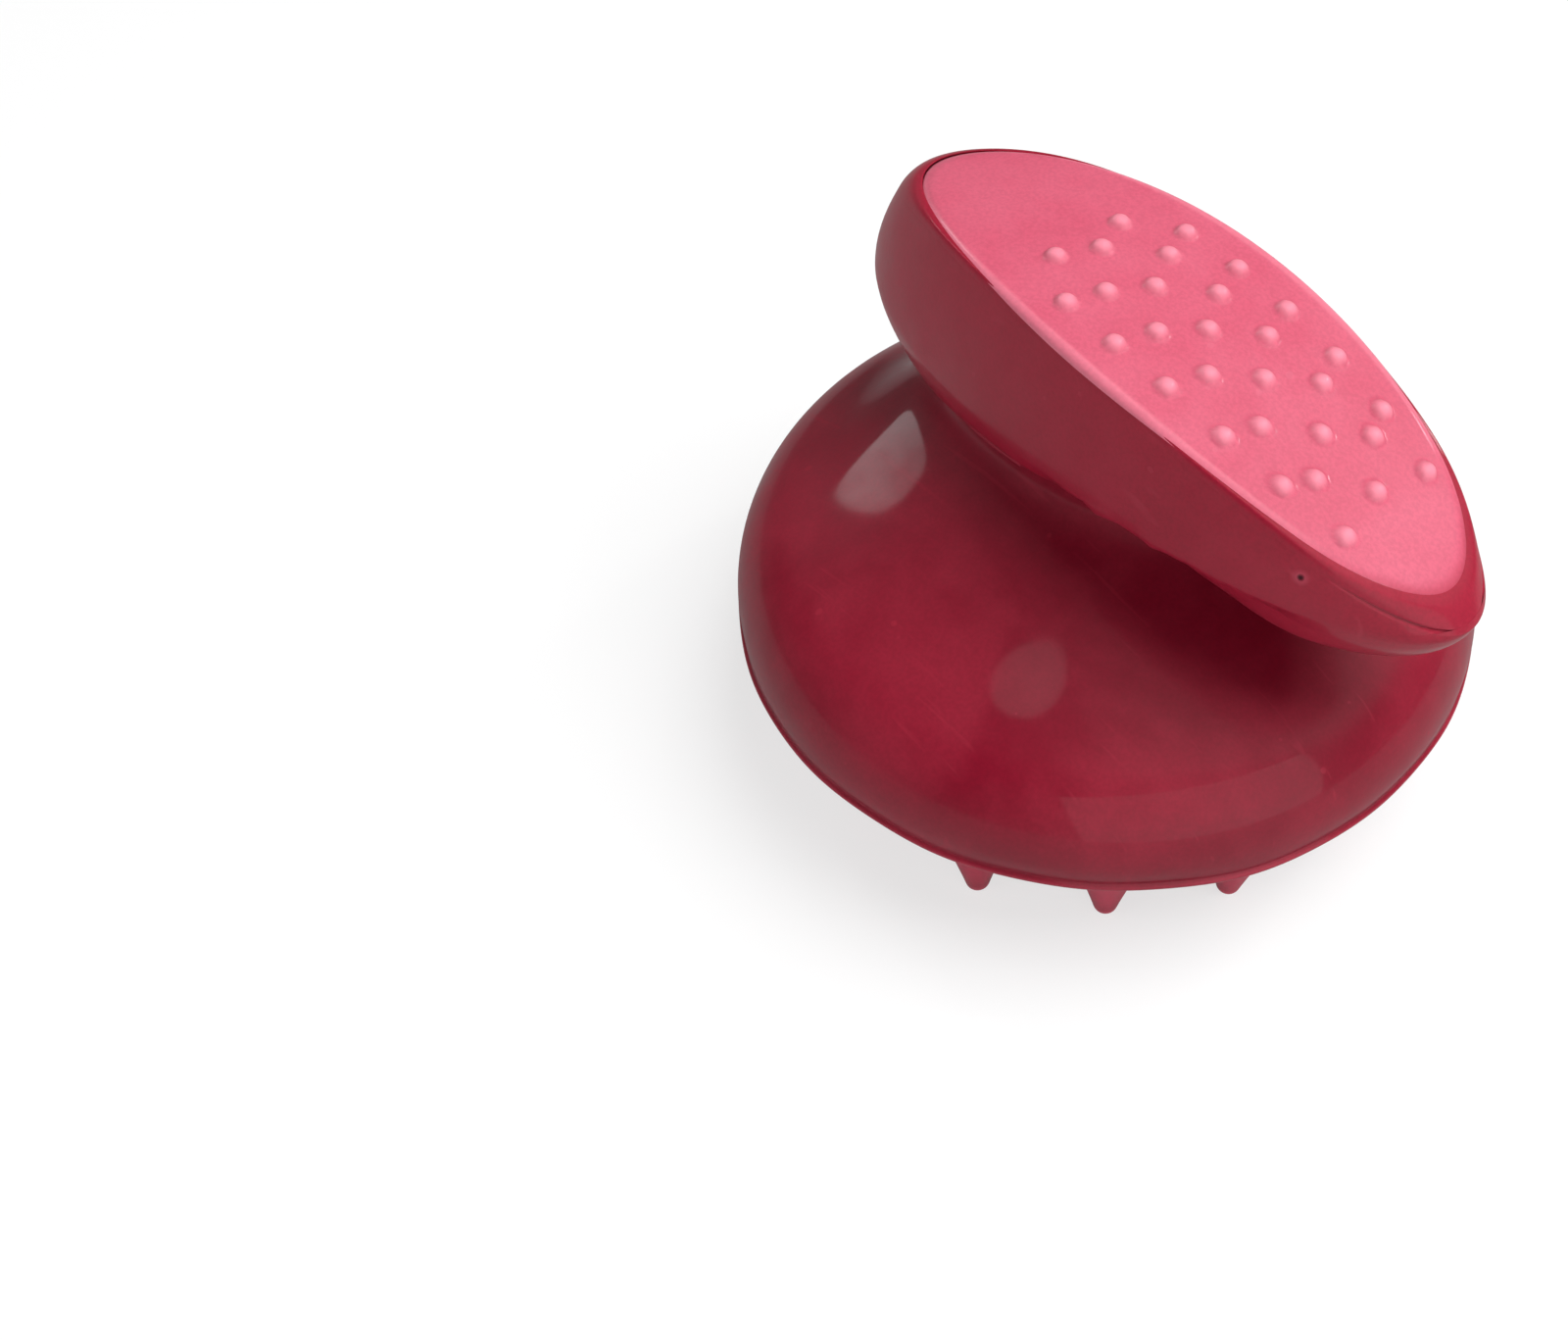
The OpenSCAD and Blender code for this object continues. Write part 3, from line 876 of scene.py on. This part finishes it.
def band_finish():
    f = Finish("band_rubber", srgb(186, 92, 122), srgb(200, 122, 146), 0.3, 0.3, 0.1, 0.34, 0.4)
    return f.done()


def plate_finish():
    f = Finish("plate_rubber", srgb(132, 22, 36), srgb(150, 42, 54), 0.2, 0.3, 0.15, 0.3, 0.4)
    return f.done()


def bristle_finish():
    f = Finish("bristle_rubber", srgb(158, 26, 54), srgb(178, 66, 88), 0.25, 0.4, 0.1, 0.42, 0.5)
    z = f.place("Height")
    f.tint(remap(f.tree, z, 1.4, 0.25, 0.0, 0.55), srgb(206, 84, 104))
    return f.done()


def dress(piece, material):
    piece.data.materials.clear()
    piece.data.materials.append(material)


def place(piece, node, material, slot):
    dress(piece, material)
    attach(piece, ROOT)
    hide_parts(node)


place(make_head(), "domed_head", head_finish(), "head_rubber")
place(make_grip(), "grip_body", grip_finish(), "grip_rubber")
place(make_pad(), "palm_pad", pad_finish(), "pad_rubber")
place(make_plate(), "bristle_plate", plate_finish(), "plate_rubber")
band_material = band_finish()
for circle in ("outer", "middle", "inner"):
    place(make_band(f"{circle}_band", f"pink_band_{circle}"), f"{circle}_band", band_material, "band_rubber")
bristle_material = bristle_finish()
for bristle, node in make_bristles():
    place(bristle, node, bristle_material, "bristle_rubber")


# ---------------------------------------------------------------- floor, light and camera

def make_floor():
    deselect_all()
    bpy.ops.mesh.primitive_plane_add(size=6, location=(0, 0, cad_low.z - FLOOR_GAP * MM))
    floor = bpy.context.object
    floor.name = "studio_floor"
    material = bpy.data.materials.new("pale_floor")
    material.use_nodes = True
    tree = material.node_tree
    shader = tree.nodes["Principled BSDF"]
    place_out = tree.nodes.new("ShaderNodeTexCoord").outputs["Object"]
    tone = remap(tree, noise(tree, place_out, 3.0), 0.3, 0.7)
    pale = mix(tree, tone, (0.86, 0.86, 0.86, 1), (0.88, 0.88, 0.88, 1))
    mirrored = tree.nodes.new("ShaderNodeLightPath").outputs["Is Glossy Ray"]
    tree.links.new(mix(tree, mirrored, pale, (0.3, 0.3, 0.3, 1)), shader.inputs["Base Color"])
    shader.inputs["Roughness"].default_value = 0.8
    shader.inputs["Specular IOR Level"].default_value = 0.2
    under = tree.nodes.new("ShaderNodeBsdfTransparent")
    choose = tree.nodes.new("ShaderNodeMixShader")
    tree.links.new(tree.nodes.new("ShaderNodeNewGeometry").outputs["Backfacing"], choose.inputs[0])
    lift = tree.nodes.new("ShaderNodeEmission")
    lift.inputs["Color"].default_value = (0.93, 0.93, 0.93, 1)
    pale_mix = tree.nodes.new("ShaderNodeMixShader")
    direct = tree.nodes.new("ShaderNodeLightPath").outputs["Is Camera Ray"]
    away = tree.nodes.new("ShaderNodeVectorMath")
    away.operation = "LENGTH"
    tree.links.new(place_out, away.inputs[0])
    far = remap(tree, away.outputs["Value"], 0.2, 0.62, FLOOR_NEAR, FLOOR_FAR)
    share = math_node(tree, "MULTIPLY_ADD", direct, far, FLOOR_LIT)
    tree.links.new(share, pale_mix.inputs[0])
    tree.links.new(shader.outputs[0], pale_mix.inputs[1])
    tree.links.new(lift.outputs[0], pale_mix.inputs[2])
    tree.links.new(pale_mix.outputs[0], choose.inputs[1])
    tree.links.new(under.outputs[0], choose.inputs[2])
    tree.links.new(choose.outputs[0], tree.nodes["Material Output"].inputs["Surface"])
    dress(floor, material)


# name, place, aim, width, power, height where it isn't square, and whether it shows as a mirror image
LAMPS = (
    ("softbox_key", (0.30, 0.34, 0.90), (0, 0, 0.03), 0.8, 15.0, None, False),
    ("fill_front", (-0.35, -0.75, 0.45), (0, 0, 0.03), 0.5, 2.0, None, False),
    ("fill_right", (0.60, -0.22, 0.22), (0.02, 0, 0.03), 0.8, 2.9),
    ("sheen_above", (0.25, 0.45, 1.1), (0, 0, 0.03), 1.3, 0.9),
    ("softbox_left", (-0.50, 0.0, 0.38), (-0.02, -0.02, 0.03), 0.10, 0.36, 0.24),
    ("lamp_above", (-0.12, -0.07, 0.72), (0.01, -0.02, 0.03), 0.13, 0.08),
    ("lamp_behind", (0.15, 0.62, 0.47), (0.01, 0, 0.05), 0.08, 0.5),
)
FLOOR_GAP = 0.01                      # millimetres below the lowest bristle tip
FLOOR_LIT, FLOOR_NEAR, FLOOR_FAR = 0.15, 0.57, 0.85     # how far the floor lights itself, near and far off
ROOM_LIGHT, ROOM_SEEN = 0.085, 0.92   # the room's own light, and its brightness behind the floor


def area_light(name, place_at, aim, size, power, height=None, shine=True):
    data = bpy.data.lights.new(name, "AREA")
    data.shape = "ELLIPSE" if height else "SQUARE"
    data.size = size
    if height:
        data.size_y = height
    elif size < 0.2:
        data.shape = "DISK"
    data.energy = power
    lamp = bpy.data.objects.new(name, data)
    bpy.context.scene.collection.objects.link(lamp)
    lamp.location = place_at
    lamp.visible_glossy = shine
    lamp.rotation_euler = (Vector(aim) - Vector(place_at)).to_track_quat("-Z", "Y").to_euler()
    return lamp


def make_studio():
    world = bpy.data.worlds.new("studio")
    bpy.context.scene.world = world
    world.use_nodes = True
    tree = world.node_tree
    back = tree.nodes["Background"]
    back.inputs["Color"].default_value = (1, 1, 1, 1)
    seen = tree.nodes.new("ShaderNodeLightPath").outputs["Is Camera Ray"]
    tree.links.new(remap(tree, seen, 0, 1, ROOM_LIGHT, ROOM_SEEN), back.inputs["Strength"])
    for settings in LAMPS:
        area_light(*settings)


def make_camera():
    data = bpy.data.cameras.new("camera")
    data.sensor_width = 36
    data.lens = 33.75
    data.shift_x, data.shift_y = -0.2106, -0.0897
    data.clip_start, data.clip_end = 0.01, 20
    camera = bpy.data.objects.new("camera", data)
    bpy.context.scene.collection.objects.link(camera)
    camera.location = (0.07104, -0.08077, 0.13422)
    camera.rotation_euler = (0.75385, -0.05481, 0.77752)
    bpy.context.scene.camera = camera


make_floor()
make_studio()
make_camera()
bpy.context.scene.view_settings.view_transform = "Standard"
